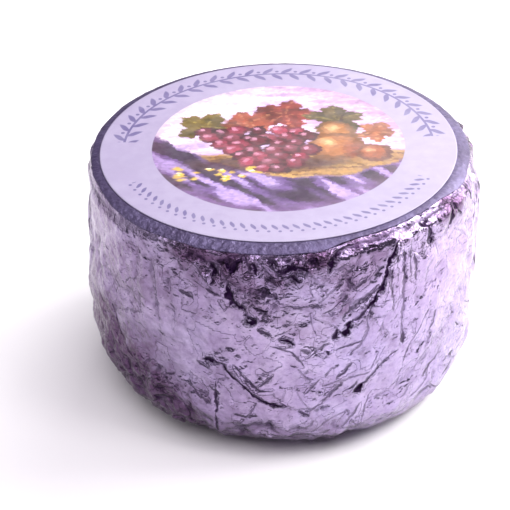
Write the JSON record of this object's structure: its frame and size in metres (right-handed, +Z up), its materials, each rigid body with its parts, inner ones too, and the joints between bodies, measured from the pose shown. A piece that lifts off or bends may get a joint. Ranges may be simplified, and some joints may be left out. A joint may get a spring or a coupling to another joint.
{
  "type": "foil-wrapped blue cheese wheel",
  "caption": "Drum-shaped whole wheel of blue cheese in creased lavender-silver foil, with a round pale label and its dark border turned down over the shoulder.",
  "frame": {"origin": "middle of the flat base, on the surface that the wheel stands on", "axes": "+Z up along the wheel's axis, towards the label; -Y is the side with the long folded ear that the picture shows; +X is to its right"},
  "size_m": [0.1805, 0.1812, 0.111],
  "materials": {
    "foil": "bright lavender-tinted foil, creased and crumpled",
    "label_border": "dark slate-violet print, semi-gloss, crimped over the shoulder",
    "label_face": "coated label paper, satin, with a printed round picture"
  },
  "bodies": {
    "root": {"foil_wrap": "foil", "label_border": "label_border", "label_face": "label_face"}
  },
  "joints": []
}
